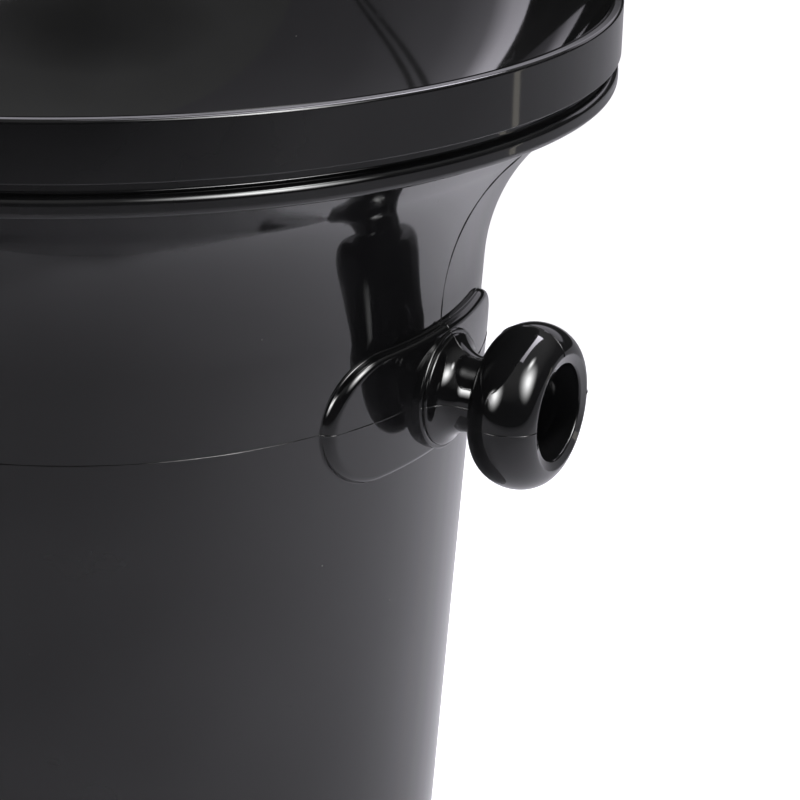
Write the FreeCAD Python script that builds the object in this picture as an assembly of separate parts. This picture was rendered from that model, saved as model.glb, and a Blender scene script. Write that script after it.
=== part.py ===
"""Tasting spittoon: a black moulded bucket with two knob handles, and the funnel lid that drops onto it.

Millimetres, +Z up. The origin is the middle of the foot ring's resting plane, and the knobs lie on +X
and -X. There are two mouldings: the bucket, with its pads and knobs in one piece, and the funnel lid.
"""
import FreeCAD
import Part

import math
import os

Vec = FreeCAD.Vector
ORIGIN = Vec(0, 0, 0)
UP = Vec(0, 0, 1)
OUT = Vec(1, 0, 0)

# Driving dimensions ----------------------------------------------------------------------------------
HEIGHT = 212.0              # foot to the lid's flat top
KNOB_Z = HEIGHT - 69.5      # height of the knobs' axis and of the mould's level parting line

# Lid
LID_R = 103.0               # outside of the skirt
SKIRT_H = 10.4              # height of the skirt
LAND_W = 2.2                # flat top edge, and the skirt's thickness
LAND_EDGE_R = 0.6           # rounding along both sides of the flat top
SKIRT_FOOT_R = 0.9          # rounding under the skirt
LID_WALL = 2.2              # funnel wall
FUNNEL_START = 60.0         # funnel's slope at the rim, degrees below level
FUNNEL_END = 20.0           # funnel's slope at the drain, degrees below level
FUNNEL_R = 95.0             # radius of the bowl between those two slopes
DRAIN_R = 18.0              # drain throat, inside
DRAIN_ROUNDING = 8.0        # rounding from the cone into the throat
SPOUT_END = 68.0            # end of the spout, below the lid's top

# Bucket rim
SHADOW_GAP = 2.2            # open gap between the skirt and the flange
FLANGE_R = 102.6            # outside of the flange
FLANGE_T = 3.8              # thickness of the flange
FLANGE_EDGE_R = 1.3         # rounding of the flange's outer edges
COLLAR_RUN = 0.5            # gap between the collar and the skirt
COLLAR_T = 2.3              # thickness of the collar
COLLAR_SEAT = 9.0           # collar's top, which the lid rests on, below the lid's top
COLLAR_EDGE_R = 0.5         # rounding of the collar's top

# Bucket wall and foot
BODY_R = 76.9               # outside of the body at the knobs' height
TAPER = 3.45                # body wall, degrees from upright
FLARE_START = 53.0          # where the wall starts to flare, below the lid's top
FLARE_R = 46.0              # radius of the flare
FLARE_END = 45.0            # slope of the flare under the flange, degrees from upright
SHELL = 2.4                 # wall thickness
HEEL_R = 5.0                # rounding from the wall to the foot ring
FOOT_W = 4.0                # width of the foot ring
FOOT_EDGE_R = 1.0           # rounding of the foot ring's inner edge
FLOOR_Z = 3.2               # underside of the floor, inside the foot ring
FLOOR_T = 3.0               # thickness of the floor
FLOOR_ROUNDING = 6.0        # rounding from the floor to the wall, inside
GATE_R = 5.0                # sprue mark under the floor
GATE_H = 0.8                # its height

# Pad
PAD_HALF_L = 31.9           # half the oval pad's length
PAD_HALF_H = 12.9           # half its height
PAD_PROUD = 2.0             # how far it stands off the body
PAD_EDGE_R = 1.5            # rounding along its edge

# Boss and neck
DISC_R = 11.8               # disc on the pad, at the foot of the boss
DISC_L = 1.2                # how far its face stands off the pad
DISC_EDGE_R = 0.5           # rounding of its edge
BOSS_ROOT = 1.9             # how far the disc reaches into the body's wall
STEP_R = 10.9               # second step, on the disc
STEP_L = 0.4                # its height
STEP_EDGE_R = 0.6           # rounding from the step onto the cone
CONE_L = 2.3                # length of the cone from the step to the neck
NECK_R = 7.4                # neck
CONE_ROUNDING = 5.5         # hollow rounding from the cone into the neck
NECK_ROUNDING = 1.4         # hollow rounding where the bulb meets the neck

# Bulb
BULB_X = 96.5               # middle of the bulb, from the bucket's axis
BULB_R = 16.0               # outside of the bulb
BULB_HALF_L = 7.1           # half the bulb's length
BULB_HALF_W = 5.6           # half the width of its round section
LIP_R = 11.2                # outer edge of the lip around the recess in the bulb's end
LIP_DISH = 0.5              # how much deeper the lip's inner edge lies
MOUTH_R = 9.3               # inner edge of the lip
RECESS_R = 8.9              # recess at its floor
RECESS_DEPTH = 11.5         # depth of the recess
RECESS_ROUNDING = 1.5       # rounding of its floor
CORE_R = 4.4                # narrower bore on into the neck
CORE_END_X = 82.5           # its blind end

# Parting lines
SEAM_H = 0.14               # how far they stand proud
SEAM_W = 0.34               # width at the foot

# Worked out from those
FLANGE_TOP = HEIGHT - SKIRT_H - SHADOW_GAP
FLANGE_UNDER = FLANGE_TOP - FLANGE_T
SEAT_Z = HEIGHT - COLLAR_SEAT
SKIRT_IN_R = LID_R - LAND_W
COLLAR_OUT_R = SKIRT_IN_R - COLLAR_RUN
COLLAR_IN_R = COLLAR_OUT_R - COLLAR_T
FLARE_Z = HEIGHT - FLARE_START
KNOB_AXIS = Vec(0, 0, KNOB_Z)
LIP_X = BULB_X + BULB_HALF_L


# Geometry helpers ------------------------------------------------------------------------------------
def cosd(degrees):
    return math.cos(math.radians(degrees))


def sind(degrees):
    return math.sin(math.radians(degrees))


def tand(degrees):
    return math.tan(math.radians(degrees))


def point(r, z):
    """A point of an outline in the XZ plane."""
    return Vec(r, 0, z)


def oval(centre, half_x, half_z, first, last, count=9):
    """Smooth curve along an ellipse about centre, between two angles measured from +X towards +Z."""
    turn = (last - first) / (count - 1)
    angles = [first + i * turn for i in range(count)]
    curve = Part.BSplineCurve()
    curve.interpolate([centre + Vec(half_x * cosd(a), 0, half_z * sind(a)) for a in angles])
    return curve


def arc(centre, radius, first, last):
    """Circular arc about centre between two angles measured from +X towards +Z."""
    mid = (first + last) / 2
    ends = [centre + Vec(radius * cosd(a), 0, radius * sind(a)) for a in (first, mid, last)]
    return Part.Arc(*ends)


def start_of(step):
    return step if isinstance(step, FreeCAD.Vector) else step.value(step.FirstParameter)


def end_of(step):
    return step if isinstance(step, FreeCAD.Vector) else step.value(step.LastParameter)


def outline(*steps):
    """Closed face from points and curves in order, with straight lines between them."""
    edges = []
    for i, step in enumerate(steps):
        if not isinstance(step, FreeCAD.Vector):
            edges.append(step.toShape())
        here = end_of(step)
        there = start_of(steps[(i + 1) % len(steps)])
        if here.distanceToPoint(there) > 1e-6:
            edges.append(Part.makeLine(here, there))
    return Part.Face(Part.Wire(edges))


def spin(face):
    """Solid of revolution about the bucket's axis. Its closing edge lies on +Y, away from the knobs."""
    solid = face.revolve(ORIGIN, UP, 360)
    solid.rotate(ORIGIN, UP, 90)
    return solid


def pair(shape):
    """The shape on +X and its copy turned half round to -X."""
    other = shape.copy()
    other.rotate(ORIGIN, UP, 180)
    return [shape, other]


# Bucket wall -----------------------------------------------------------------------------------------
def body_radius(z):
    """Outside of the tapered wall."""
    return BODY_R + (z - KNOB_Z) * tand(TAPER)


def wall_point(z, inset):
    """Point of the tapered wall at height z, moved in by inset."""
    return point(body_radius(z) - inset / cosd(TAPER), z)


def flare(inset, up=True):
    """The flare's arc for a wall moved in by inset. It leaves the tapered wall without a corner."""
    centre = wall_point(FLARE_Z, 0) + Vec(FLARE_R * cosd(TAPER), 0, -FLARE_R * sind(TAPER))
    angles = (180 - TAPER, 180 - FLARE_END)
    return arc(centre, FLARE_R + inset, *(angles if up else angles[::-1]))


def flare_line_z(end, r):
    """Height where the straight stretch above the flare, from its end, reaches radius r."""
    return end.z + (r - end.x) / tand(FLARE_END)


def flare_line_r(end, z):
    """Radius where the straight stretch above the flare, from its end, reaches height z."""
    return end.x + (z - end.z) * tand(FLARE_END)


def flange_and_collar():
    """The bucket's rim in its outline, from the flange's underside to the collar's top."""
    under = point(FLANGE_R - FLANGE_EDGE_R, FLANGE_UNDER + FLANGE_EDGE_R)
    over = point(FLANGE_R - FLANGE_EDGE_R, FLANGE_TOP - FLANGE_EDGE_R)
    crest = point(COLLAR_OUT_R - COLLAR_EDGE_R, SEAT_Z - COLLAR_EDGE_R)
    return [
        arc(under, FLANGE_EDGE_R, 270, 360),
        arc(over, FLANGE_EDGE_R, 0, 90),
        point(COLLAR_OUT_R, FLANGE_TOP),
        arc(crest, COLLAR_EDGE_R, 0, 90),
    ]


def foot_and_floor():
    """The bucket's underside in its outline, from the sprue mark to the end of the heel's rounding."""
    heel = point(body_radius(HEEL_R) - HEEL_R / cosd(TAPER), HEEL_R)
    foot_in_r = heel.x - FOOT_W
    return [
        point(0, FLOOR_Z - GATE_H),
        point(GATE_R, FLOOR_Z - GATE_H),
        point(GATE_R, FLOOR_Z),
        point(foot_in_r, FLOOR_Z),
        arc(point(foot_in_r + FOOT_EDGE_R, FOOT_EDGE_R), FOOT_EDGE_R, 180, 270),
        arc(heel, HEEL_R, 270, 360 - TAPER),
    ]


def outer_body():
    """The bucket's outside, filled: foot, wall, flare, flange and collar."""
    return spin(outline(
        *foot_and_floor(),
        flare(0),
        point(flare_line_r(end_of(flare(0)), FLANGE_UNDER), FLANGE_UNDER),
        *flange_and_collar(),
        point(0, SEAT_Z),
    ))


def cavity():
    """The space inside the bucket, from the floor up through the collar."""
    floor_top = FLOOR_Z + FLOOR_T
    corner = wall_point(floor_top + FLOOR_ROUNDING, SHELL + FLOOR_ROUNDING)
    inner = flare(SHELL)
    return spin(outline(
        point(0, floor_top),
        arc(corner, FLOOR_ROUNDING, 270, 360 - TAPER),
        inner,
        point(COLLAR_IN_R, flare_line_z(end_of(inner), COLLAR_IN_R)),
        point(COLLAR_IN_R, SEAT_Z - COLLAR_EDGE_R),
        arc(point(COLLAR_IN_R + COLLAR_EDGE_R, SEAT_Z - COLLAR_EDGE_R), COLLAR_EDGE_R, 180, 90),
        point(0, SEAT_Z),
    ))


# Pads ------------------------------------------------------------------------------------------------
def stadium(half_l, half_h):
    """Stadium across the knob's axis at the bucket's axis, long along Y."""
    straight = half_l - half_h
    right = KNOB_AXIS + Vec(0, straight, 0)
    left = KNOB_AXIS - Vec(0, straight, 0)
    top = Vec(0, 0, half_h)
    end = Vec(0, half_h, 0)
    return Part.Face(Part.Wire([
        Part.makeLine(left + top, right + top),
        Part.Arc(right + top, right + end, right - top).toShape(),
        Part.makeLine(right - top, left - top),
        Part.Arc(left - top, left - end, left + top).toShape(),
    ]))


def pad(grow=0.0):
    """Oval pad that follows the body, with a rounded edge; grow swells it for its parting line."""
    half_h = PAD_HALF_H + grow
    low = KNOB_Z - 2 * half_h
    high = KNOB_Z + 2 * half_h
    band = spin(outline(
        wall_point(low, SHELL / 2),
        wall_point(low, -PAD_PROUD - grow),
        wall_point(high, -PAD_PROUD - grow),
        wall_point(high, SHELL / 2),
    ))
    prism = stadium(PAD_HALF_L + grow, half_h).extrude(OUT * LIP_X)
    shape = band.common(prism)
    face = max(shape.Faces, key=lambda f: f.CenterOfMass.x)
    return shape.makeFillet(PAD_EDGE_R, face.Edges)


# Knobs -----------------------------------------------------------------------------------------------
def knob_point(x, radius):
    """A point of the knob's outline."""
    return point(x, KNOB_Z + radius)


def spin_about_knob(face):
    """Solid of revolution about the knob's axis."""
    return face.revolve(KNOB_AXIS, OUT, 360)


def angle_at(offset, half_width):
    """Angle at which an ellipse of that half width stands off its centre by offset."""
    return math.degrees(math.asin(offset / half_width))


def rings(solid, radius):
    """The solid's circular edges of that radius, nearest the bucket first."""
    circles = [e for e in solid.Edges if isinstance(e.Curve, Part.Circle)]
    found = [e for e in circles if abs(e.Curve.Radius - radius) < 1e-3]
    return sorted(found, key=lambda e: e.CenterOfMass.x)


def knob(grow=0.0):
    """Disc, step, cone, neck and bulb without the recess; grow swells them for their parting line."""
    face_x = BODY_R + PAD_PROUD + DISC_L
    cone_slope = math.atan2(STEP_R - NECK_R, CONE_L)
    shift = grow * math.tan(cone_slope / 2)
    neck_r = NECK_R + grow
    half_l = BULB_HALF_L + grow
    half_w = BULB_HALF_W + grow
    mid_r = BULB_R - BULB_HALF_W
    bulb = knob_point(BULB_X, mid_r)
    lip_angle = angle_at(LIP_R - mid_r, half_w)
    bulb_curve = oval(bulb, half_l, half_w, 180 + angle_at(mid_r - neck_r, half_w), lip_angle, count=17)
    solid = spin_about_knob(outline(
        knob_point(BODY_R - BOSS_ROOT, 0),
        knob_point(BODY_R - BOSS_ROOT, DISC_R + grow),
        knob_point(face_x + grow, DISC_R + grow),
        knob_point(face_x + grow, STEP_R + grow),
        knob_point(face_x + STEP_L + shift, STEP_R + grow),
        knob_point(face_x + STEP_L + CONE_L + shift, neck_r),
        bulb_curve,
        knob_point(end_of(bulb_curve).x, 0),
    ))
    solid = solid.makeFillet(NECK_ROUNDING, [rings(solid, neck_r)[-1]])
    solid = solid.makeFillet(CONE_ROUNDING, [rings(solid, neck_r)[0]])
    solid = solid.makeFillet(STEP_EDGE_R, [rings(solid, STEP_R + grow)[-1]])
    return solid.makeFillet(DISC_EDGE_R, [rings(solid, DISC_R + grow)[-1]])


def recess():
    """The bulb's open end and the narrower blind bore behind it."""
    floor_x = LIP_X - RECESS_DEPTH
    corner = knob_point(floor_x + RECESS_ROUNDING, RECESS_R - RECESS_ROUNDING)
    beyond = LIP_X + LIP_DISH
    return spin_about_knob(outline(
        knob_point(CORE_END_X, 0),
        knob_point(CORE_END_X, CORE_R),
        knob_point(floor_x, CORE_R),
        arc(corner, RECESS_ROUNDING, 180, 90),
        knob_point(LIP_X - LIP_DISH, MOUTH_R),
        knob_point(LIP_X, LIP_R),
        knob_point(beyond, LIP_R),
        knob_point(beyond, 0),
    ))


# Parting lines ---------------------------------------------------------------------------------------
def level_slab():
    """The thin layer that the level parting line stands in."""
    side = 4 * LID_R
    return Part.makeBox(side, side, SEAM_W, Vec(-side / 2, -side / 2, KNOB_Z - SEAM_W / 2))


def upright_slab():
    """The thin layer in the knobs' plane, from the level parting line up to the flange."""
    side = 4 * LID_R
    low = Vec(-side / 2, -SEAM_W / 2, KNOB_Z)
    return Part.makeBox(side, SEAM_W, FLANGE_UNDER + FLANGE_EDGE_R - KNOB_Z, low)


def seam_skin():
    """The body's wall and flare, swollen by SEAM_H, from just below the knobs up to the flange."""
    outer = flare(-SEAM_H)
    inner = flare(SHELL / 2, up=False)
    low = KNOB_Z - SEAM_W
    top = FLANGE_UNDER + FLANGE_EDGE_R
    return spin(outline(
        wall_point(low, -SEAM_H),
        outer,
        point(flare_line_r(end_of(outer), top), top),
        point(flare_line_r(start_of(inner), top), top),
        inner,
        wall_point(low, SHELL / 2),
    ))


def parting_lines():
    """All fins: level round the body and the knobs, upright above them."""
    fins = []
    slabs = [level_slab(), upright_slab()]
    for swollen in [seam_skin()] + pair(pad(SEAM_H)) + pair(knob(SEAM_H)):
        fins += [swollen.common(slab) for slab in slabs]
    return fins


def bucket():
    """Body, pads, knobs and parting lines fused, then hollowed out."""
    body = outer_body().fuse(pair(pad()) + pair(knob()))
    body = body.fuse(parting_lines())
    return body.cut([cavity()] + pair(recess()))


# Lid -------------------------------------------------------------------------------------------------
def funnel_lid():
    """Skirt, flat top, bowl, drain cone and spout in one revolved outline."""
    edge = LAND_EDGE_R
    foot = SKIRT_FOOT_R
    skirt_z = HEIGHT - SKIRT_H
    centre = point(SKIRT_IN_R - FUNNEL_R * sind(FUNNEL_START), HEIGHT + FUNNEL_R * cosd(FUNNEL_START))
    rim = FUNNEL_START - 90
    drain = FUNNEL_END - 90
    outer_r = FUNNEL_R + LID_WALL
    bowl = arc(centre, FUNNEL_R, rim, drain)
    seat_angle = -math.degrees(math.asin((centre.z - SEAT_Z) / outer_r))
    throat_x = DRAIN_R + DRAIN_ROUNDING * (1 - sind(FUNNEL_END))
    throat_z = end_of(bowl).z - (end_of(bowl).x - throat_x) * tand(FUNNEL_END)
    throat = point(DRAIN_R + DRAIN_ROUNDING, throat_z - DRAIN_ROUNDING * cosd(FUNNEL_END))
    spout_z = HEIGHT - SPOUT_END
    half_wall = LID_WALL / 2
    return spin(outline(
        arc(point(LID_R - edge, HEIGHT - edge), edge, 0, 90),
        arc(point(SKIRT_IN_R + edge, HEIGHT - edge), edge, 90, 90 + FUNNEL_START),
        bowl,
        arc(throat, DRAIN_ROUNDING, 90 + FUNNEL_END, 180),
        arc(point(DRAIN_R + half_wall, spout_z + half_wall), half_wall, 180, 360),
        arc(throat, DRAIN_ROUNDING - LID_WALL, 180, 90 + FUNNEL_END),
        arc(centre, outer_r, drain, seat_angle),
        point(SKIRT_IN_R, SEAT_Z),
        arc(point(SKIRT_IN_R + foot, skirt_z + foot), foot, 180, 270),
        arc(point(LID_R - foot, skirt_z + foot), foot, 270, 360),
    ))


if __name__ == "__main__":
    os.makedirs("parts", exist_ok=True)
    bucket().exportStep("parts/bucket.step")
    funnel_lid().exportStep("parts/funnel_lid.step")
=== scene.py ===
"""Looks for the tasting spittoon: fine meshes for both mouldings, gloss black plastic, a pale studio."""

import math

import bpy
import numpy as np
from mathutils import Matrix, Quaternion, Vector


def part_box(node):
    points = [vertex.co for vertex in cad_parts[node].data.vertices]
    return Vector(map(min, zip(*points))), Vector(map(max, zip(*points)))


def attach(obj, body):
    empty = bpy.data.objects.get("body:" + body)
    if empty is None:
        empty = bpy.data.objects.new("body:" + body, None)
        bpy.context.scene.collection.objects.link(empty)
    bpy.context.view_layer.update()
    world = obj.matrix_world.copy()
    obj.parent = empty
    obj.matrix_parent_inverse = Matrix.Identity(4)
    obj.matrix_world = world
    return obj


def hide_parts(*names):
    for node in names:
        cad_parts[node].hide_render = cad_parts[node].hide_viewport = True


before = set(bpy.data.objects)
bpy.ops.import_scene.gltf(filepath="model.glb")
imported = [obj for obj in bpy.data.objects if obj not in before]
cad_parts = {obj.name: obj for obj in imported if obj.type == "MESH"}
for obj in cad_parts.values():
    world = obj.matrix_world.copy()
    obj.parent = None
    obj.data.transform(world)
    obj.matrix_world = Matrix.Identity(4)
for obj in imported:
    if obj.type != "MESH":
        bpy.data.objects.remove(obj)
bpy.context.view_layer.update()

# Sizes, in metres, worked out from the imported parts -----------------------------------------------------
MM = 0.001
LID_LOW, LID_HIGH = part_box("funnel_lid")
BUCKET_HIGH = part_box("bucket")[1]
TOP = LID_HIGH.z                     # the lid's flat top
LID_R = 103.0 / 212.0 * TOP          # outside of the lid's skirt
SEAT_Z = BUCKET_HIGH.z               # collar's top, which the lid rests on
LIP_X = BUCKET_HIGH.x                # the knobs' outer ends
SPOUT_Z = LID_LOW.z                  # end of the drain spout

# Lid
SKIRT_H = 10.4 * MM
LAND_W = 2.2 * MM
SKIRT_FOOT_R = 0.3 * MM
LAND_EDGE_R = 0.6 * MM
LID_WALL = 2.2 * MM
FUNNEL_START = 60.0                  # the funnel's slope at its rim and at the drain, degrees
FUNNEL_END = 20.0
FUNNEL_R = 95.0 * MM
DRAIN_R = 18.0 * MM
DRAIN_ROUNDING = 8.0 * MM

# Bucket
FLANGE_TOP = TOP - SKIRT_H - 2.2 * MM
FLANGE_UNDER = FLANGE_TOP - 3.8 * MM
FLANGE_R = LID_R - 0.4 * MM
FLANGE_EDGE_R = 1.3 * MM
FLANGE_ROOT_R = 1.0 * MM
SKIRT_IN_R = LID_R - LAND_W
COLLAR_OUT_R = SKIRT_IN_R - 0.5 * MM
COLLAR_IN_R = COLLAR_OUT_R - 2.3 * MM
COLLAR_EDGE_R = 0.5 * MM
KNOB_Z = TOP - 69.5 * MM
BODY_R = 76.9 * MM
TAPER = 3.45                         # lean of the body's wall, degrees
FLARE_Z = TOP - 53.0 * MM
FLARE_R = 46.0 * MM
FLARE_END = 45.0                     # lean of the wall at the flare's upper end, degrees
SHELL = 2.4 * MM
HEEL_R = 5.0 * MM
FOOT_W = 4.0 * MM
FOOT_EDGE_R = 1.0 * MM
FLOOR_Z = 3.2 * MM
FLOOR_TOP = 6.2 * MM
FLOOR_ROUNDING = 6.0 * MM
GATE_R = 5.0 * MM
GATE_H = 0.8 * MM

# Pad, disc, step, cone, neck and bulb
PAD_HALF_L = 31.9 * MM
PAD_HALF_H = 12.9 * MM
PAD_PROUD = 2.0 * MM
PAD_EDGE_R = 1.5 * MM
PAD_ROOT_R = 0.35 * MM
PAD_RINGS = (0.985, 0.9, 0.75, 0.6, 0.45, 0.3, 0.18)  # rings on its flat, from the middle to the edge
DISC_R = 11.8 * MM
DISC_L = 1.2 * MM
DISC_EDGE_R = 0.5 * MM
BOSS_ROOT = 1.9 * MM                 # how far the knob's root reaches into the wall
STEP_R = 10.9 * MM
STEP_L = 0.4 * MM
STEP_EDGE_R = 0.6 * MM
CONE_L = 2.3 * MM
NECK_R = 7.4 * MM
CONE_ROUNDING = 5.5 * MM
NECK_ROUNDING = 1.4 * MM
BULB_X = LIP_X - 7.2 * MM
BULB_R = 16.0 * MM
BULB_HALF_L = 7.1 * MM
BULB_HALF_W = 5.6 * MM
BULB_MID_R = BULB_R - BULB_HALF_W    # from the knob's axis to the middle of the bulb's oval section
LIP_R = 11.2 * MM
LIP_DISH = 0.5 * MM
LIP_ROUNDING = 0.5 * MM
MOUTH_R = 9.3 * MM
RECESS_R = 8.9 * MM
RECESS_DEPTH = 11.5 * MM
RECESS_ROUNDING = 1.5 * MM
CORE_R = 4.4 * MM
CORE_END_X = 82.5 * MM

# Parting lines
SEAM_H = 0.13 * MM
SEAM_W = 0.32 * MM
KNOB_SEAM_H = 1.1 * SEAM_H
SEAM_WANDER = 0.25                   # how far the line's height and width stray
SEAM_SECTION = [(-0.5, -1.0), (-0.5, 0.0), (-0.26, 0.8), (0.0, 1.0), (0.26, 0.8), (0.5, 0.0), (0.5, -1.0)]

# Mesh fineness
TURN_STEPS = 384                     # faces once round the bucket
KNOB_STEPS = 360                     # faces once round a knob
RING_STEPS = 900                     # points of the level parting line
BULB_STEPS = 70                      # points of the bulb's section
PAD_END_STEPS = 24                   # points on a quarter turn of the pad's edge
PAD_SIDE_STEPS = 40                  # points on a straight side of the pad's edge
ARC_STEP = 5.0                       # degrees between points of a rounding
LINE_STEP = 2.5 * MM                 # longest straight stretch of an outline
SEAM_STEP = 0.6 * MM                 # longest stretch of a parting line
HOLD = 0.12 * MM                     # short stretch that keeps a rounding's shading off a flat
HOLD_LEAST = 4 * HOLD                # stretches shorter than this get no hold
ARC_CHORD = 3.5 * HOLD               # longest chord of a rounding, so that it gets no hold
CORNER_ANGLE = 28.0                  # shading breaks at corners sharper than this, in degrees
PAD_CORNER_ANGLE = 35.0
SEAM_CORNER_ANGLE = 60.0

# Camera
CAMERA_AT = Vector((256.9 * MM, -353.5 * MM, TOP + 92.0 * MM))
AIM_AT = Vector((50.0 * MM, 36.3 * MM, TOP - 91.2 * MM))
CAMERA_ROLL = 1.06                   # degrees
CAMERA_LENS = 100.6                  # lens and sensor in camera millimetres
CAMERA_SENSOR = 36.0

# Plastic
BLACK = 0.008                        # base colour
HAZE = 0.055                         # roughness of the bucket
LID_HAZE = 0.05
RIPPLE = 0.06 * MM                   # depth of the bucket's moulding ripple
LID_RIPPLE = 0.05 * MM
DUST = (0.30, 0.29, 0.28, 1)
DUST_COVER = 0.8                     # how far a speck hides the plastic
WEAR = 0.08                          # added roughness on worn edges

# Table and lights; radiances are in Blender's units
TABLE_HALF = 3.0                     # half the floor's side
TABLE_CELLS = 24
TABLE_FRONT = 0.768                  # front edge of the table in reflections, towards the camera
TABLE_FADE = (-0.26, 0.14)           # where its darkening starts and ends, from that edge
TABLE_LIFT = 0.80                    # extra light on the floor that only the camera sees
TABLE_TONES = ((0.83, 0.815, 0.885, 1), (0.87, 0.855, 0.93, 1))
SKY_ON_TABLE = 0.42                  # even light on matt surfaces
ROOM_DIM = 0.02                      # darkest and brightest part of the room in reflections
ROOM_CEILING = 0.36
POOL_POWER = 40.0                    # watts
POOL_AT = Vector((0.44, 0.38, 1.0))
POOL_AIM = Vector((0.25, 0.15, 0))
POOL_SPREAD = 42.0                   # degrees
POOL_SIZE = 0.12
NEUTRAL = (1.0, 1.0, 1.0)            # tints of the lights
WARM = (1.0, 0.95, 0.86)
COOL = (0.99, 0.96, 1.06)
WALL_EDGE_SLOPE = -35.4              # slope of the dark edges on the left wall, degrees
WALL_EDGE_SHIFT = 0.024              # from the middle between them

rng = np.random.default_rng(7)


# Outline helpers ----------------------------------------------------------------------------------------
def cosd(a):
    return math.cos(math.radians(a))


def sind(a):
    return math.sin(math.radians(a))


def tand(a):
    return math.tan(math.radians(a))


def arc(cx, cz, radius, first, last):
    """Points of a circular arc about (cx, cz), from one angle to another, in degrees."""
    turn = abs(last - first)
    by_length = int(math.radians(turn) * radius / ARC_CHORD) + 2
    count = max(3, int(turn / ARC_STEP) + 2, by_length)
    return [(cx + radius * cosd(a), cz + radius * sind(a)) for a in np.linspace(first, last, count)]


def filled(points):
    """Closed outline with long straight stretches divided, and a short holding stretch at their ends."""
    out = []
    for p, q in zip(points, [*points[1:], points[0]]):
        p, q = np.array(p), np.array(q)
        gap = np.linalg.norm(q - p)
        out.append(tuple(p))
        if gap > HOLD_LEAST:
            inner = int(gap / LINE_STEP) + 1
            stops = [HOLD / gap, *[k / inner for k in range(1, inner)], 1 - HOLD / gap]
            out += [tuple(p + (q - p) * s) for s in stops]
    return out


def fillet(before, corner, after, radius):
    """Points of a rounding between two straight stretches that meet in a corner."""
    a, b, c = (np.array(p, float) for p in (before, corner, after))
    u = (a - b) / np.linalg.norm(a - b)
    v = (c - b) / np.linalg.norm(c - b)
    half = math.acos(float(np.clip(u @ v, -1, 1))) / 2
    reach = radius / math.tan(half)
    centre = b + (u + v) / np.linalg.norm(u + v) * radius / math.sin(half)
    start, end = b + u * reach - centre, b + v * reach - centre
    a0 = math.degrees(math.atan2(start[1], start[0]))
    turn = (math.degrees(math.atan2(end[1], end[0])) - a0 + 180) % 360 - 180
    return arc(centre[0], centre[1], radius, a0, a0 + turn)


# Mesh helpers -------------------------------------------------------------------------------------------
def make_object(name, verts, faces, sharp_angle=CORNER_ANGLE):
    """A mesh object with smooth shading that breaks only at real corners."""
    mesh = bpy.data.meshes.new(name)
    mesh.from_pydata(np.asarray(verts).tolist(), [], faces)
    mesh.validate()
    mesh.update()
    mesh.shade_smooth()
    mesh.set_sharp_from_angle(angle=math.radians(sharp_angle))
    obj = bpy.data.objects.new(name, mesh)
    bpy.context.scene.collection.objects.link(obj)
    return obj


def revolve(name, outline, steps, place):
    """Closed solid of revolution. place turns (radius, height, cosine, sine) arrays into points."""
    pts = np.array(outline)
    on_axis = np.isclose(pts[:, 0], 0, atol=1e-7)
    angles = np.arange(steps) * 2 * math.pi / steps
    verts, index = [], []
    for (r, h), pole in zip(pts, on_axis):
        start = len(verts)
        ring = angles[:1] if pole else angles
        verts += place(r, h, np.cos(ring), np.sin(ring))
        index.append([start] * steps if pole else list(range(start, start + steps)))
    faces = []
    for i in range(len(pts)):
        j = (i + 1) % len(pts)
        if on_axis[i] and on_axis[j]:
            continue
        for k in range(steps):
            m = (k + 1) % steps
            loop = [index[i][k], index[i][m], index[j][m], index[j][k]]
            faces.append(list(dict.fromkeys(loop)))
    return make_object(name, verts, faces)


def upright(r, h, c, s):
    """Places a ring about the bucket's axis."""
    return [(r * a, r * b, h) for a, b in zip(c, s)]


def along_knob(r, x, c, s):
    """Places a ring about the knob's axis on +X."""
    return [(x, r * a, KNOB_Z + r * b) for a, b in zip(c, s)]


def turned_copy(obj, name):
    """The same piece half round the bucket, with its own mesh."""
    mesh = obj.data.copy()
    mesh.transform(Matrix.Rotation(math.pi, 4, "Z"))
    mesh.name = name
    other = bpy.data.objects.new(name, mesh)
    bpy.context.scene.collection.objects.link(other)
    return other


# Bucket body --------------------------------------------------------------------------------------------
def body_radius(z):
    """Outside of the straight body at a height."""
    return BODY_R + (z - KNOB_Z) * tand(TAPER)


def wall_at(z, inset=0.0):
    """Point at a height, inset square to the body's slope."""
    return (body_radius(z) - inset / cosd(TAPER), z)


def flare_arc(inset, up=True):
    """The curve of the mouth, inset from the outside, drawn upwards or downwards."""
    cx, cz = body_radius(FLARE_Z) + FLARE_R * cosd(TAPER), FLARE_Z - FLARE_R * sind(TAPER)
    ends = (180 - TAPER, 180 - FLARE_END)
    first, last = ends if up else ends[::-1]
    return arc(cx, cz, FLARE_R + inset, first, last)


def flare_reach(end, z=None, r=None):
    """Where the straight stretch above the flare reaches a height or a radius."""
    if z is not None:
        return (end[0] + (z - end[1]) * tand(FLARE_END), z)
    return (r, end[1] + (r - end[0]) / tand(FLARE_END))


def outer_wall_line():
    """Outside from the foot of the flare up to the flange's underside."""
    root = flare_reach(flare_arc(0)[-1], z=FLANGE_UNDER)
    return flare_arc(0) + fillet(flare_arc(0)[-1], root, (FLANGE_R, FLANGE_UNDER), FLANGE_ROOT_R)


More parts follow.
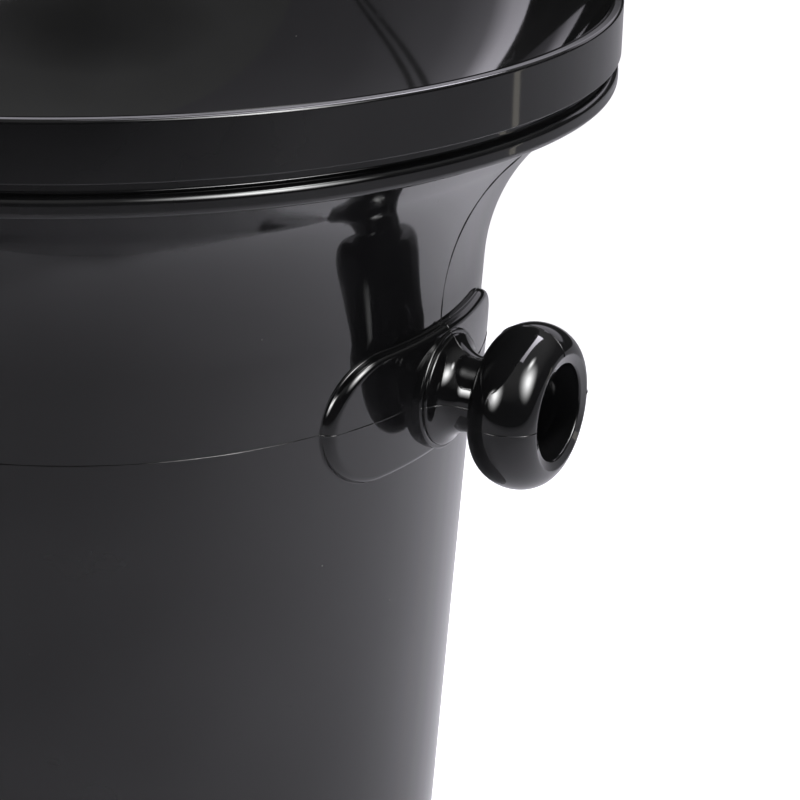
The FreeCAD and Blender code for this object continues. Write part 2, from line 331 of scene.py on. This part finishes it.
def bucket_outline():
    """Half section: under the floor, foot, outside, flange, collar, inside, and the floor's top."""
    heel_x = body_radius(HEEL_R) - HEEL_R / cosd(TAPER)
    foot_in = heel_x - FOOT_W
    edge = FLANGE_EDGE_R
    crest = SEAT_Z - COLLAR_EDGE_R
    inner_end = flare_arc(SHELL)[-1]
    collar_foot = (COLLAR_OUT_R, FLANGE_TOP)
    corner = wall_at(FLOOR_TOP + FLOOR_ROUNDING, SHELL + FLOOR_ROUNDING)
    return filled([
        (0, FLOOR_Z - GATE_H),
        *fillet((0, FLOOR_Z - GATE_H), (GATE_R, FLOOR_Z - GATE_H), (GATE_R, FLOOR_Z), GATE_H / 3),
        (GATE_R, FLOOR_Z),
        *fillet((GATE_R, FLOOR_Z), (foot_in, FLOOR_Z), (foot_in, 0), FOOT_EDGE_R),
        *arc(foot_in + FOOT_EDGE_R, FOOT_EDGE_R, FOOT_EDGE_R, 180, 270),
        *arc(heel_x, HEEL_R, HEEL_R, 270, 360 - TAPER),
        *outer_wall_line(),
        *arc(FLANGE_R - edge, FLANGE_UNDER + edge, edge, 270, 360),
        *arc(FLANGE_R - edge, FLANGE_TOP - edge, edge, 0, 90),
        *fillet((FLANGE_R, FLANGE_TOP), collar_foot, (COLLAR_OUT_R, SEAT_Z), COLLAR_EDGE_R),
        *arc(COLLAR_OUT_R - COLLAR_EDGE_R, crest, COLLAR_EDGE_R, 0, 90),
        *arc(COLLAR_IN_R + COLLAR_EDGE_R, crest, COLLAR_EDGE_R, 90, 180),
        flare_reach(inner_end, r=COLLAR_IN_R),
        *flare_arc(SHELL, up=False),
        *arc(corner[0], corner[1], FLOOR_ROUNDING, 360 - TAPER, 270),
        (0, FLOOR_TOP),
    ])


# Lid ----------------------------------------------------------------------------------------------------
def lid_outline():
    """Half section: land, funnel, drain and spout, the funnel's underside, the shelf and the skirt."""
    edge, foot = LAND_EDGE_R, SKIRT_FOOT_R
    cx, cz = SKIRT_IN_R - FUNNEL_R * sind(FUNNEL_START), TOP + FUNNEL_R * cosd(FUNNEL_START)
    outer_r = FUNNEL_R + LID_WALL
    rim, drain = FUNNEL_START - 90, FUNNEL_END - 90
    seat = -math.degrees(math.asin((cz - SEAT_Z) / outer_r))
    end_x, end_z = cx + FUNNEL_R * cosd(drain), cz + FUNNEL_R * sind(drain)
    throat_x = DRAIN_R + DRAIN_ROUNDING
    touch_x = throat_x - DRAIN_ROUNDING * sind(FUNNEL_END)
    throat_z = end_z - (end_x - touch_x) * tand(FUNNEL_END) - DRAIN_ROUNDING * cosd(FUNNEL_END)
    half = LID_WALL / 2
    skirt_z = TOP - SKIRT_H
    return filled([
        *arc(LID_R - edge, TOP - edge, edge, 0, 90),
        *arc(SKIRT_IN_R + edge, TOP - edge, edge, 90, 90 + FUNNEL_START),
        *arc(cx, cz, FUNNEL_R, rim, drain),
        *arc(throat_x, throat_z, DRAIN_ROUNDING, 90 + FUNNEL_END, 180),
        *arc(DRAIN_R + half, SPOUT_Z + half, half, 180, 360),
        *arc(throat_x, throat_z, DRAIN_ROUNDING - LID_WALL, 180, 90 + FUNNEL_END),
        *arc(cx, cz, outer_r, drain, seat),
        (SKIRT_IN_R, SEAT_Z),
        *arc(SKIRT_IN_R + foot, skirt_z + foot, foot, 180, 270),
        *arc(LID_R - foot, skirt_z + foot, foot, 270, 360),
    ])


# Pad ----------------------------------------------------------------------------------------------------
def stadium_ring(d):
    """Stadium drawn d inside the pad's edge, as (along, up), starting at its right end."""
    straight = PAD_HALF_L - PAD_HALF_H
    radius = PAD_HALF_H - d
    right_turn = np.linspace(0, 90, PAD_END_STEPS, False)
    left_turn = np.linspace(90, 180, PAD_END_STEPS, False)
    right = [(straight + radius * cosd(a), radius * sind(a)) for a in right_turn]
    top = [(straight - 2 * straight * k / PAD_SIDE_STEPS, radius) for k in range(PAD_SIDE_STEPS)]
    left = [(-straight + radius * cosd(a), radius * sind(a)) for a in left_turn]
    upper = right + top + left
    return upper + [(-y, -z) for y, z in upper]


def pad_point(y, up, height):
    """Point standing height off the body's face, on the +X side."""
    z = KNOB_Z + up
    radius = body_radius(z) + height
    return (math.sqrt(radius * radius - y * y), y, z)


def pad_steps():
    """Section from the middle over the edge into the body, as (distance inside the edge, height)."""
    flat = [(PAD_HALF_H * share, PAD_PROUD) for share in PAD_RINGS]
    near = [(PAD_EDGE_R + HOLD, PAD_PROUD)]
    edge = [(PAD_EDGE_R - x, PAD_PROUD - PAD_EDGE_R + h) for x, h in arc(0, 0, PAD_EDGE_R, 90, 0)]
    root = [(-PAD_ROOT_R + x, PAD_ROOT_R + h) for x, h in arc(0, 0, PAD_ROOT_R, 0, -90)]
    low = -SHELL / 2
    return flat + near + edge + root + [(-PAD_ROOT_R, low)] + [(d, low) for d, h in reversed(flat)]


def pad_mesh():
    """Closed pad on the body's face, its middle strip joined across by narrow faces."""
    verts, rings = [], []
    for d, h in pad_steps():
        ring = stadium_ring(d)
        rings.append(range(len(verts), len(verts) + len(ring)))
        verts += [pad_point(y, z, h) for y, z in ring]
    n = len(rings[0])
    faces = []
    for a, b in zip(rings, rings[1:]):
        faces += [[a[k], a[(k + 1) % n], b[(k + 1) % n], b[k]] for k in range(n)]
    for ring in (rings[0], rings[-1]):
        for k in range(n // 2):
            loop = [ring[k], ring[(k + 1) % n], ring[(n - k - 1) % n], ring[(n - k) % n]]
            faces.append(list(dict.fromkeys(loop)))
    return make_object("pad_right", verts, faces, PAD_CORNER_ANGLE)


# Knob ---------------------------------------------------------------------------------------------------
def oval_angle(offset, half):
    """Angle at which an oval of a half width stands off its middle by an offset."""
    return math.degrees(math.asin(offset / half))


def neck_line():
    """Disc, step, cone, neck and bulb outside, as (x, radius), from the pad to the lip."""
    face_x = BODY_R + PAD_PROUD + DISC_L
    neck_end = BULB_X - BULB_HALF_L - NECK_ROUNDING
    bulb_start = 180 + oval_angle(BULB_MID_R - NECK_R - NECK_ROUNDING, BULB_HALF_W)
    bulb_end = oval_angle(LIP_R - BULB_MID_R, BULB_HALF_W)
    bulb = [
        (BULB_X + BULB_HALF_L * cosd(a), BULB_MID_R + BULB_HALF_W * sind(a))
        for a in np.linspace(bulb_start, bulb_end, BULB_STEPS)
    ]
    cone_top = (face_x + STEP_L, STEP_R)
    cone_foot = (face_x + STEP_L + CONE_L, NECK_R)
    return [
        *arc(face_x - DISC_EDGE_R, DISC_R - DISC_EDGE_R, DISC_EDGE_R, 90, 0),
        (face_x, STEP_R),
        *fillet((face_x, STEP_R), cone_top, cone_foot, STEP_EDGE_R),
        *fillet(cone_top, cone_foot, (neck_end, NECK_R), CONE_ROUNDING),
        *arc(neck_end, NECK_R + NECK_ROUNDING, NECK_ROUNDING, 270, 350),
        *bulb,
    ]


def knob_outline():
    """Half section about the knob's axis: root, outside, lip, recess and core bore."""
    floor_x = LIP_X - RECESS_DEPTH
    root_x = BODY_R - BOSS_ROOT
    lip_x = neck_line()[-1][0]
    mouth = (lip_x - LIP_DISH, MOUTH_R)
    wall_foot = (floor_x + RECESS_ROUNDING, RECESS_R)
    line = [
        (root_x, 0),
        (root_x, DISC_R),
        *neck_line(),
        *fillet((lip_x, LIP_R), mouth, wall_foot, LIP_ROUNDING),
        *arc(floor_x + RECESS_ROUNDING, RECESS_R - RECESS_ROUNDING, RECESS_ROUNDING, 90, 180),
        (floor_x, CORE_R),
        (CORE_END_X, CORE_R),
        (CORE_END_X, 0),
    ]
    return [(r, x) for x, r in filled(line)]


# Parting lines ------------------------------------------------------------------------------------------
def ridge(name, path, outward, closed=False, height=SEAM_H):
    """Thin raised line along a path on a surface; its height and width wander a little."""
    path = np.array(path)
    outward = np.array(outward)
    count = len(path)
    ahead = np.roll(path, -1, 0) - np.roll(path, 1, 0)
    if not closed:
        ahead[0] = path[1] - path[0]
        ahead[-1] = path[-1] - path[-2]
    ahead /= np.linalg.norm(ahead, axis=1, keepdims=True)
    side = np.cross(ahead, outward)
    side /= np.linalg.norm(side, axis=1, keepdims=True)
    wander = np.convolve(rng.normal(size=count + 8), np.ones(9) / 3, "valid") * SEAM_WANDER
    tall = height * np.clip(1 + wander, 0.3, 2.2)
    deep = np.full(count, height)
    wide = SEAM_W * np.clip(1 + wander / 2, 0.6, 1.6)
    rows = []
    for a, b in SEAM_SECTION:
        lift = b * (tall if b > 0 else deep)
        rows.append(path + side * (a * wide)[:, None] + outward * lift[:, None])
    verts = np.stack(rows, 1).reshape(-1, 3)
    n = len(SEAM_SECTION)
    faces = []
    for i in range(count if closed else count - 1):
        j = (i + 1) % count
        for k in range(n):
            m = (k + 1) % n
            faces.append([i * n + k, i * n + m, j * n + m, j * n + k])
    if not closed:
        faces.append(list(range(n))[::-1])
        faces.append([(count - 1) * n + k for k in range(n)])
    return make_object(name, verts, faces, SEAM_CORNER_ANGLE)


def normals_2d(points):
    """Left-hand normals of an open line of points."""
    p = np.array(points)
    t = np.gradient(p, axis=0)
    t /= np.linalg.norm(t, axis=1, keepdims=True)
    return np.stack([t[:, 1], -t[:, 0]], 1)


def dense(points):
    """The same line with points no further apart than the parting lines' step."""
    out = [points[0]]
    for p, q in zip(points, points[1:]):
        p, q = np.array(p), np.array(q)
        parts = int(np.linalg.norm(q - p) / SEAM_STEP) + 1
        out += [tuple(p + (q - p) * (k + 1) / parts) for k in range(parts)]
    return out


def level_ring():
    """The parting line round the body, level with the knobs."""
    angles = np.arange(RING_STEPS) * 2 * math.pi / RING_STEPS
    outward = np.stack([np.cos(angles), np.sin(angles), np.zeros(RING_STEPS)], 1)
    path = outward * BODY_R + np.array([0, 0, KNOB_Z])
    return ridge("level_parting_line", path, outward, closed=True)


def upright_line():
    """The parting line from the pad up to the flange."""
    start = wall_at(KNOB_Z + PAD_HALF_H)
    line = dense([start, *outer_wall_line()])
    n = normals_2d(line)
    path = [(r, 0, z) for r, z in line]
    outward = [(a, 0, b) for a, b in n]
    return ridge("upright_parting_line_right", path, outward)


def knob_line(name, direction):
    """The knob's outline in the plane of direction (a unit vector across the knob's axis)."""
    line = dense(neck_line())
    n = -normals_2d(line)
    path = [(x, direction[0] * r, KNOB_Z + direction[1] * r) for x, r in line]
    outward = [(a, direction[0] * b, direction[1] * b) for a, b in n]
    return ridge(name, path, outward, height=KNOB_SEAM_H)


def pad_line(name, along, up):
    """The pad's parting line from the disc to its edge, towards (along, up)."""
    reach = PAD_HALF_L if along else PAD_HALF_H
    section = [(d, h) for d, h in pad_steps() if h > 0 and reach - d > DISC_R]
    line = dense([(reach - d, h) for d, h in [(reach - DISC_R, PAD_PROUD)] + section])
    n = normals_2d(line)
    path, outward = [], []
    for (s, h), (a, b) in zip(line, n):
        x, y, z = pad_point(s * along, s * up, h)
        out = np.array([x, y, 0]) / math.hypot(x, y)
        across = np.array([-out[1], out[0], 0]) * along + np.array([0, 0, 1]) * up
        path.append((x, y, z))
        outward.append(across * -a + out * -b)
    return ridge(name, path, outward)


# Shader helpers -----------------------------------------------------------------------------------------
def new_tree(data):
    """The empty node tree of a material or a world."""
    data.use_nodes = True
    data.node_tree.nodes.clear()
    return data.node_tree


def add(tree, kind, **values):
    """A node with its properties and plain input values set by name."""
    node = tree.nodes.new(kind)
    for key, value in values.items():
        if hasattr(node, key):
            setattr(node, key, value)
        else:
            node.inputs[key].default_value = value
    return node


def output_to(tree, shader, kind="ShaderNodeOutputMaterial"):
    """Makes a shader the tree's surface."""
    tree.links.new(shader, add(tree, kind).inputs["Surface"])


def noise(tree, scale, detail, stretch=(1, 1, 1)):
    """Noise over the object's own coordinates in metres, stretched along an axis if asked."""
    place = add(tree, "ShaderNodeTexCoord")
    mapping = add(tree, "ShaderNodeMapping")
    mapping.inputs["Scale"].default_value = stretch
    texture = add(tree, "ShaderNodeTexNoise", Scale=scale, Detail=detail)
    tree.links.new(place.outputs["Object"], mapping.inputs["Vector"])
    tree.links.new(mapping.outputs["Vector"], texture.inputs["Vector"])
    return texture.outputs["Fac"]


def ramp(tree, value, low, high, start=0.0, end=1.0):
    """Maps a value from low..high to start..end, clamped."""
    node = add(tree, "ShaderNodeMapRange", clamp=True)
    node.inputs["From Min"].default_value = low
    node.inputs["From Max"].default_value = high
    node.inputs["To Min"].default_value = start
    node.inputs["To Max"].default_value = end
    tree.links.new(value, node.inputs["Value"])
    return node.outputs["Result"]


def combine(tree, operation, a, b):
    """Arithmetic between two values, each a socket or a number."""
    node = add(tree, "ShaderNodeMath", operation=operation)
    for socket, value in zip(node.inputs, (a, b)):
        if isinstance(value, (int, float)):
            socket.default_value = value
        else:
            tree.links.new(value, socket)
    return node.outputs[0]


def times(tree, a, b):
    return combine(tree, "MULTIPLY", a, b)


def plus(tree, a, b):
    return combine(tree, "ADD", a, b)


def mix_colours(tree, share, first, second):
    """Colour between two, each a socket or a plain colour."""
    node = add(tree, "ShaderNodeMix", data_type="RGBA")
    tree.links.new(share, node.inputs["Factor"])
    for name, value in (("A", first), ("B", second)):
        if isinstance(value, tuple):
            node.inputs[name].default_value = value
        else:
            tree.links.new(value, node.inputs[name])
    return node.outputs["Result"]


def mix_shaders(tree, share, first, second):
    """Shader that goes from the first to the second as share goes from 0 to 1."""
    node = add(tree, "ShaderNodeMixShader")
    for socket, value in zip(node.inputs, (share, first, second)):
        tree.links.new(value, socket)
    return node.outputs[0]


def add_shaders(tree, first, second):
    node = add(tree, "ShaderNodeAddShader")
    tree.links.new(first, node.inputs[0])
    tree.links.new(second, node.inputs[1])
    return node.outputs[0]


def glow(tree, strength, tint=NEUTRAL):
    """Emission whose strength is a socket or a number."""
    node = add(tree, "ShaderNodeEmission")
    node.inputs["Color"].default_value = (*tint, 1)
    if isinstance(strength, (int, float)):
        node.inputs["Strength"].default_value = strength
    else:
        tree.links.new(strength, node.inputs["Strength"])
    return node.outputs[0]


# Gloss plastic ------------------------------------------------------------------------------------------
def scratches(tree):
    """Hairline scratches, one where they lie and zero elsewhere: a set upwards and a set across."""
    upwards = ramp(tree, noise(tree, 210.0, 3.0, (1, 1, 0.04)), 0.64, 0.72)
    across = ramp(tree, noise(tree, 260.0, 3.0, (0.05, 1, 1)), 0.66, 0.74)
    return combine(tree, "MAXIMUM", upwards, across)


def specks(tree, scale=230.0, size=0.05, rarity=0.86):
    """Small scattered dust specks: one where they lie, zero elsewhere."""
    place = add(tree, "ShaderNodeTexCoord")
    cells = add(tree, "ShaderNodeTexVoronoi", Scale=scale, Randomness=1.0)
    tree.links.new(place.outputs["Object"], cells.inputs["Vector"])
    near = ramp(tree, cells.outputs["Distance"], size, size * 0.4)
    chosen = add(tree, "ShaderNodeSeparateColor")
    tree.links.new(cells.outputs["Color"], chosen.inputs[0])
    rare = combine(tree, "GREATER_THAN", chosen.outputs[0], rarity)
    return times(tree, near, rare)


def plastic_colour(tree, cloud):
    """Black with slightly lighter clouds, under dust."""
    deep = (BLACK, BLACK, BLACK * 1.06, 1)
    pale = (BLACK * 2.2, BLACK * 2.2, BLACK * 2.3, 1)
    tint = mix_colours(tree, ramp(tree, cloud, 0.35, 0.75), deep, pale)
    return mix_colours(tree, times(tree, specks(tree), DUST_COVER), tint, DUST)


def plastic_roughness(tree, cloud, scratched, haze):
    """Cloudy haze, rougher along scratches and on worn edges."""
    geometry = add(tree, "ShaderNodeNewGeometry")
    worn = ramp(tree, geometry.outputs["Pointiness"], 0.53, 0.60)
    clouded = ramp(tree, cloud, 0.3, 0.7, haze * 0.6, haze * 1.4)
    rough = plus(tree, clouded, times(tree, scratched, haze * 0.9))
    return plus(tree, rough, times(tree, worn, WEAR))


def plastic_relief(tree, scratched, ripple):
    """Slow moulding ripple, fine grain, and shallow scratches."""
    slow = noise(tree, 26.0, 1.5, (1, 1, 0.45))
    fine = times(tree, noise(tree, 900.0, 2.0), 0.02)
    height = plus(tree, plus(tree, slow, fine), times(tree, scratched, -0.01))
    bump = add(tree, "ShaderNodeBump", Strength=1.0, Distance=ripple)
    tree.links.new(height, bump.inputs["Height"])
    return bump.outputs["Normal"]


def gloss_black(name, haze, ripple):
    """Mirror-gloss moulded black with clouds, ripple, hairline scratches, edge wear and dust."""
    material = bpy.data.materials.new(name)
    tree = new_tree(material)
    plastic = add(tree, "ShaderNodeBsdfPrincipled", IOR=1.5)
    cloud = noise(tree, 34.0, 4.0)
    scratched = scratches(tree)
    tree.links.new(plastic_colour(tree, cloud), plastic.inputs["Base Color"])
    tree.links.new(plastic_roughness(tree, cloud, scratched, haze), plastic.inputs["Roughness"])
    tree.links.new(plastic_relief(tree, scratched, ripple), plastic.inputs["Normal"])
    output_to(tree, plastic.outputs["BSDF"])
    return material


# Pieces -------------------------------------------------------------------------------------------------
def finish_piece(obj, body, material):
    """Gives a piece its material and slot, and lets it ride on its body."""
    obj.data.materials.clear()
    obj.data.materials.append(material)
    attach(obj, body)


def build_bucket(material):
    """Shell and level parting line, then pad, knob and their parting lines on both sides."""
    shell = revolve("bucket_shell", bucket_outline(), TURN_STEPS, upright)
    pad = pad_mesh()
    knob = revolve("knob_right", knob_outline(), KNOB_STEPS, along_knob)
    one_side = [
        pad,
        knob,
        upright_line(),
        knob_line("knob_line_front_right", (-1, 0)),
        knob_line("knob_line_back_right", (1, 0)),
        knob_line("knob_line_top_right", (0, 1)),
        pad_line("pad_line_front_right", -1, 0),
        pad_line("pad_line_back_right", 1, 0),
        pad_line("pad_line_top_right", 0, 1),
    ]
    pieces = [shell, level_ring(), *one_side]
    pieces += [turned_copy(piece, piece.name.replace("right", "left")) for piece in one_side]
    for piece in pieces:
        finish_piece(piece, "bucket", material)
    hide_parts("bucket")


def build_lid(material):
    lid = revolve("funnel_lid_moulding", lid_outline(), TURN_STEPS, upright)
    finish_piece(lid, "lid", material)
    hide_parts("funnel_lid")


# Table --------------------------------------------------------------------------------------------------
def toward(azimuth, elevation):
    """Direction from an angle right of the camera's forward direction, and an elevation, in degrees."""
    ahead = (AIM_AT - CAMERA_AT).normalized()
    turn = math.degrees(math.atan2(ahead.x, ahead.y)) + azimuth
    return Vector((sind(turn) * cosd(elevation), cosd(turn) * cosd(elevation), sind(elevation)))


def grid(name, origin, u, v, cells):
    """Flat grid of faces from a corner along two edges."""
    line = np.linspace(0, 1, cells + 1)
    verts = [tuple(origin + u * float(a) + v * float(b)) for b in line for a in line]
    row = cells + 1
    faces = [
        [j * row + i, j * row + i + 1, (j + 1) * row + i + 1, (j + 1) * row + i]
        for j in range(cells) for i in range(cells)
    ]
    return make_object(name, verts, faces)


def beyond_table(tree):
    """One past the table's front edge and zero on the table, with a soft change."""
    place = add(tree, "ShaderNodeTexCoord")
    along = add(tree, "ShaderNodeVectorMath", operation="DOT_PRODUCT")
    along.inputs[1].default_value = toward(180, 0)
    tree.links.new(place.outputs["Object"], along.inputs[0])
    start, end = (TABLE_FRONT + shift for shift in TABLE_FADE)
    return ramp(tree, along.outputs["Value"], start, end)


def table_material():
    """Matt white tabletop. In reflections it ends at its front edge, with the dark room beyond."""
    material = bpy.data.materials.new("pale_table")
    tree = new_tree(material)
    path = add(tree, "ShaderNodeLightPath")
    paper = add(tree, "ShaderNodeBsdfPrincipled", Roughness=0.8)
    tree.links.new(mix_colours(tree, noise(tree, 9.0, 4.0), *TABLE_TONES), paper.inputs["Base Color"])
    lift = glow(tree, times(tree, path.outputs["Is Camera Ray"], TABLE_LIFT))
    lit = add_shaders(tree, paper.outputs["BSDF"], lift)
    hidden = times(tree, beyond_table(tree), path.outputs["Is Glossy Ray"])
    output_to(tree, mix_shaders(tree, hidden, lit, glow(tree, 0.03)))
    return material


def build_table():
    """Plain pale floor."""
    size = 2 * TABLE_HALF
    corner = Vector((-TABLE_HALF, -TABLE_HALF, 0))
    table = grid("table", corner, Vector((size, 0, 0)), Vector((0, size, 0)), TABLE_CELLS)
    table.data.materials.append(table_material())


# Lights -------------------------------------------------------------------------------------------------
def softbox_material(name, radiance):
    """Light of a softbox: brightest in the middle, fading to nothing at its round edge, clear outside."""
    material = bpy.data.materials.new(name)
    tree = new_tree(material)
    place = add(tree, "ShaderNodeTexCoord")
    off = add(tree, "ShaderNodeVectorMath", operation="LENGTH")
    tree.links.new(place.outputs["Object"], off.inputs[0])
    fade = ramp(tree, off.outputs["Value"], 0.15, 1.0, 1.0, 0.0)
    light = glow(tree, times(tree, times(tree, fade, fade), radiance))
    output_to(tree, add_shaders(tree, light, add(tree, "ShaderNodeBsdfTransparent").outputs[0]))
    return material


def panel_material(name, stops, tint=NEUTRAL):
    """Light of a flat panel that changes from its foot to its head; stops are (height share, radiance)."""
    material = bpy.data.materials.new(name)
    tree = new_tree(material)
    place = add(tree, "ShaderNodeTexCoord")
    split = add(tree, "ShaderNodeSeparateXYZ")
    tree.links.new(place.outputs["Object"], split.inputs[0])
    up = times(tree, plus(tree, split.outputs[1], 1.0), 0.5)
    strength = stops[0][1]
    for (low, before), (high, after) in zip(stops, stops[1:]):
        strength = plus(tree, strength, ramp(tree, up, low, high, 0.0, after - before))
    output_to(tree, glow(tree, strength, tint))
    return material


def card(material, centre, facing, half_w, half_h, roll=0.0):
    """Card that only reflections see, named like its material, turned to a point and rolled in degrees."""
    obj = grid(material.name, Vector((-1, -1, 0)), Vector((2, 0, 0)), Vector((0, 2, 0)), 1)
    obj.rotation_mode = "QUATERNION"
    spin = Quaternion((0, 0, 1), math.radians(roll))
    obj.rotation_quaternion = (facing - centre).normalized().to_track_quat("Z", "Y") @ spin
    obj.location = centre
    obj.scale = (half_w, half_h, 1)
    obj.data.materials.append(material)
    obj.visible_camera = False
    obj.visible_diffuse = False
    obj.visible_shadow = False


def build_softboxes():
    """Softboxes behind the camera to its right and left for the knob, one on the right for the flange."""
    knob = Vector((BULB_X, 0, KNOB_Z))
    right = softbox_material("softbox_right", 24.0)
    card(right, knob + toward(140, 39), knob, half_w=0.50, half_h=0.56)
    left = softbox_material("softbox_left", 24.0)
    card(left, knob + toward(-125, 26), knob, half_w=0.36, half_h=0.42)
    side = softbox_material("softbox_side", 22.0)
    card(side, Vector((0.60, -0.03, 1.0)), Vector((0.08, -0.06, 0.2)), half_w=0.26, half_h=0.12)


def build_top_panel():
    """Long panel low over the bucket's right side, for the patch on top of the knob."""
    over = Vector((0.094, 0.125, 0.50))
    material = panel_material("softbox_top", [(0.0, 5.0), (0.5, 9.0), (1.0, 12.0)], COOL)
    card(material, over, over - Vector((0, 0, 1)), half_w=0.076, half_h=0.19)


def build_left_wall():
    """Wall on the left, brightest at its foot, crossed by a dark double edge; the bowl mirrors both."""
    wall = Vector((-1.0, -0.4, 1.42))
    stops = [(0.0, 2.4), (0.04, 2.2), (0.09, 0.75), (0.2, 0.48), (0.46, 0.34), (1.0, 0.32)]
    right = Vector((1, 0, 0))
    card(panel_material("wall_left", stops, COOL), wall, wall + right, half_w=1.5, half_h=0.80)
    for shift in (-WALL_EDGE_SHIFT, WALL_EDGE_SHIFT):
        middle = Vector((-0.985, 0.25, 1.155 + shift))
        dark = panel_material("wall_edge", [(0, 0.05), (1, 0.05)])
        card(dark, middle, middle + right, half_w=0.9, half_h=0.010, roll=WALL_EDGE_SLOPE)


def build_backdrop():
    """Dim band behind the bucket, for the edges that face away from the camera."""
    level = Vector((0, 0, 0.72))
    material = panel_material("backdrop", [(0, 0.0), (0.2, 0.9), (0.8, 0.8), (1, 0.0)], COOL)
    card(material, toward(16, 0) * 1.3 + level, level, half_w=0.90, half_h=0.24)


def build_strip():
    """Narrow warm strip on the right, for the upright streak on the skirt."""
    material = panel_material("strip_right", [(0, 1.4), (1, 1.2)], WARM)
    card(material, Vector((0.56, 0.40, 0.09)), Vector((0.10, -0.02, 0.09)), half_w=0.012, half_h=0.08)


def build_pool():
    """Soft pool of light on the table, to the right of the bucket and behind it."""
    data = bpy.data.lights.new("pool", "SPOT")
    data.energy = POOL_POWER
    data.spot_size = math.radians(POOL_SPREAD)
    data.spot_blend = 1.0
    data.shadow_soft_size = POOL_SIZE
    lamp = bpy.data.objects.new("pool", data)
    lamp.location = POOL_AT
    lamp.rotation_mode = "QUATERNION"
    lamp.rotation_quaternion = (POOL_AIM - POOL_AT).to_track_quat("-Z", "Y")
    lamp.visible_glossy = False
    bpy.context.scene.collection.objects.link(lamp)


def room_light(tree):
    """Strength of the room in reflections: dark at the sides, a dim ceiling, darker straight above."""
    place = add(tree, "ShaderNodeTexCoord")
    split = add(tree, "ShaderNodeSeparateXYZ")
    tree.links.new(place.outputs["Generated"], split.inputs[0])
    ceiling = ramp(tree, split.outputs[2], 0.35, 0.75, ROOM_DIM, ROOM_CEILING)
    zenith = ramp(tree, split.outputs[2], 0.95, 1.0, 1.0, 0.45)
    return times(tree, ceiling, zenith)


def build_world():
    """White to the camera, even to the table, and to reflections a dark room with a dim ceiling."""
    world = bpy.data.worlds.new("studio")
    bpy.context.scene.world = world
    tree = new_tree(world)
    path = add(tree, "ShaderNodeLightPath")
    white = (*NEUTRAL, 1)
    seen = add(tree, "ShaderNodeBackground", Color=white, Strength=1.0)
    even = add(tree, "ShaderNodeBackground", Color=white, Strength=SKY_ON_TABLE)
    room = add(tree, "ShaderNodeBackground", Color=white)
    tree.links.new(room_light(tree), room.inputs["Strength"])
    unseen = mix_shaders(tree, path.outputs["Is Glossy Ray"], even.outputs[0], room.outputs[0])
    sky = mix_shaders(tree, path.outputs["Is Camera Ray"], unseen, seen.outputs[0])
    output_to(tree, sky, "ShaderNodeOutputWorld")


# Camera -------------------------------------------------------------------------------------------------
def build_camera():
    """Close view from just above the rim, level but for a slight roll."""
    ahead = (AIM_AT - CAMERA_AT).normalized()
    right = ahead.cross(Vector((0, 0, 1))).normalized()
    over = right.cross(ahead)
    rolled_right = right * cosd(CAMERA_ROLL) + over * sind(CAMERA_ROLL)
    rolled_up = over * cosd(CAMERA_ROLL) - right * sind(CAMERA_ROLL)
    turn = Matrix((rolled_right, rolled_up, -ahead)).transposed()
    data = bpy.data.cameras.new("camera")
    data.lens = CAMERA_LENS
    data.sensor_width = CAMERA_SENSOR
    data.clip_start = 10 * MM
    camera = bpy.data.objects.new("camera", data)
    camera.matrix_world = Matrix.Translation(CAMERA_AT) @ turn.to_4x4()
    bpy.context.scene.collection.objects.link(camera)
    bpy.context.scene.camera = camera


build_bucket(gloss_black("gloss_black_bucket", HAZE, RIPPLE))
build_lid(gloss_black("gloss_black_lid", LID_HAZE, LID_RIPPLE))
build_table()
build_softboxes()
build_top_panel()
build_left_wall()
build_backdrop()
build_strip()
build_pool()
build_world()
build_camera()
bpy.context.scene.view_settings.view_transform = "Standard"
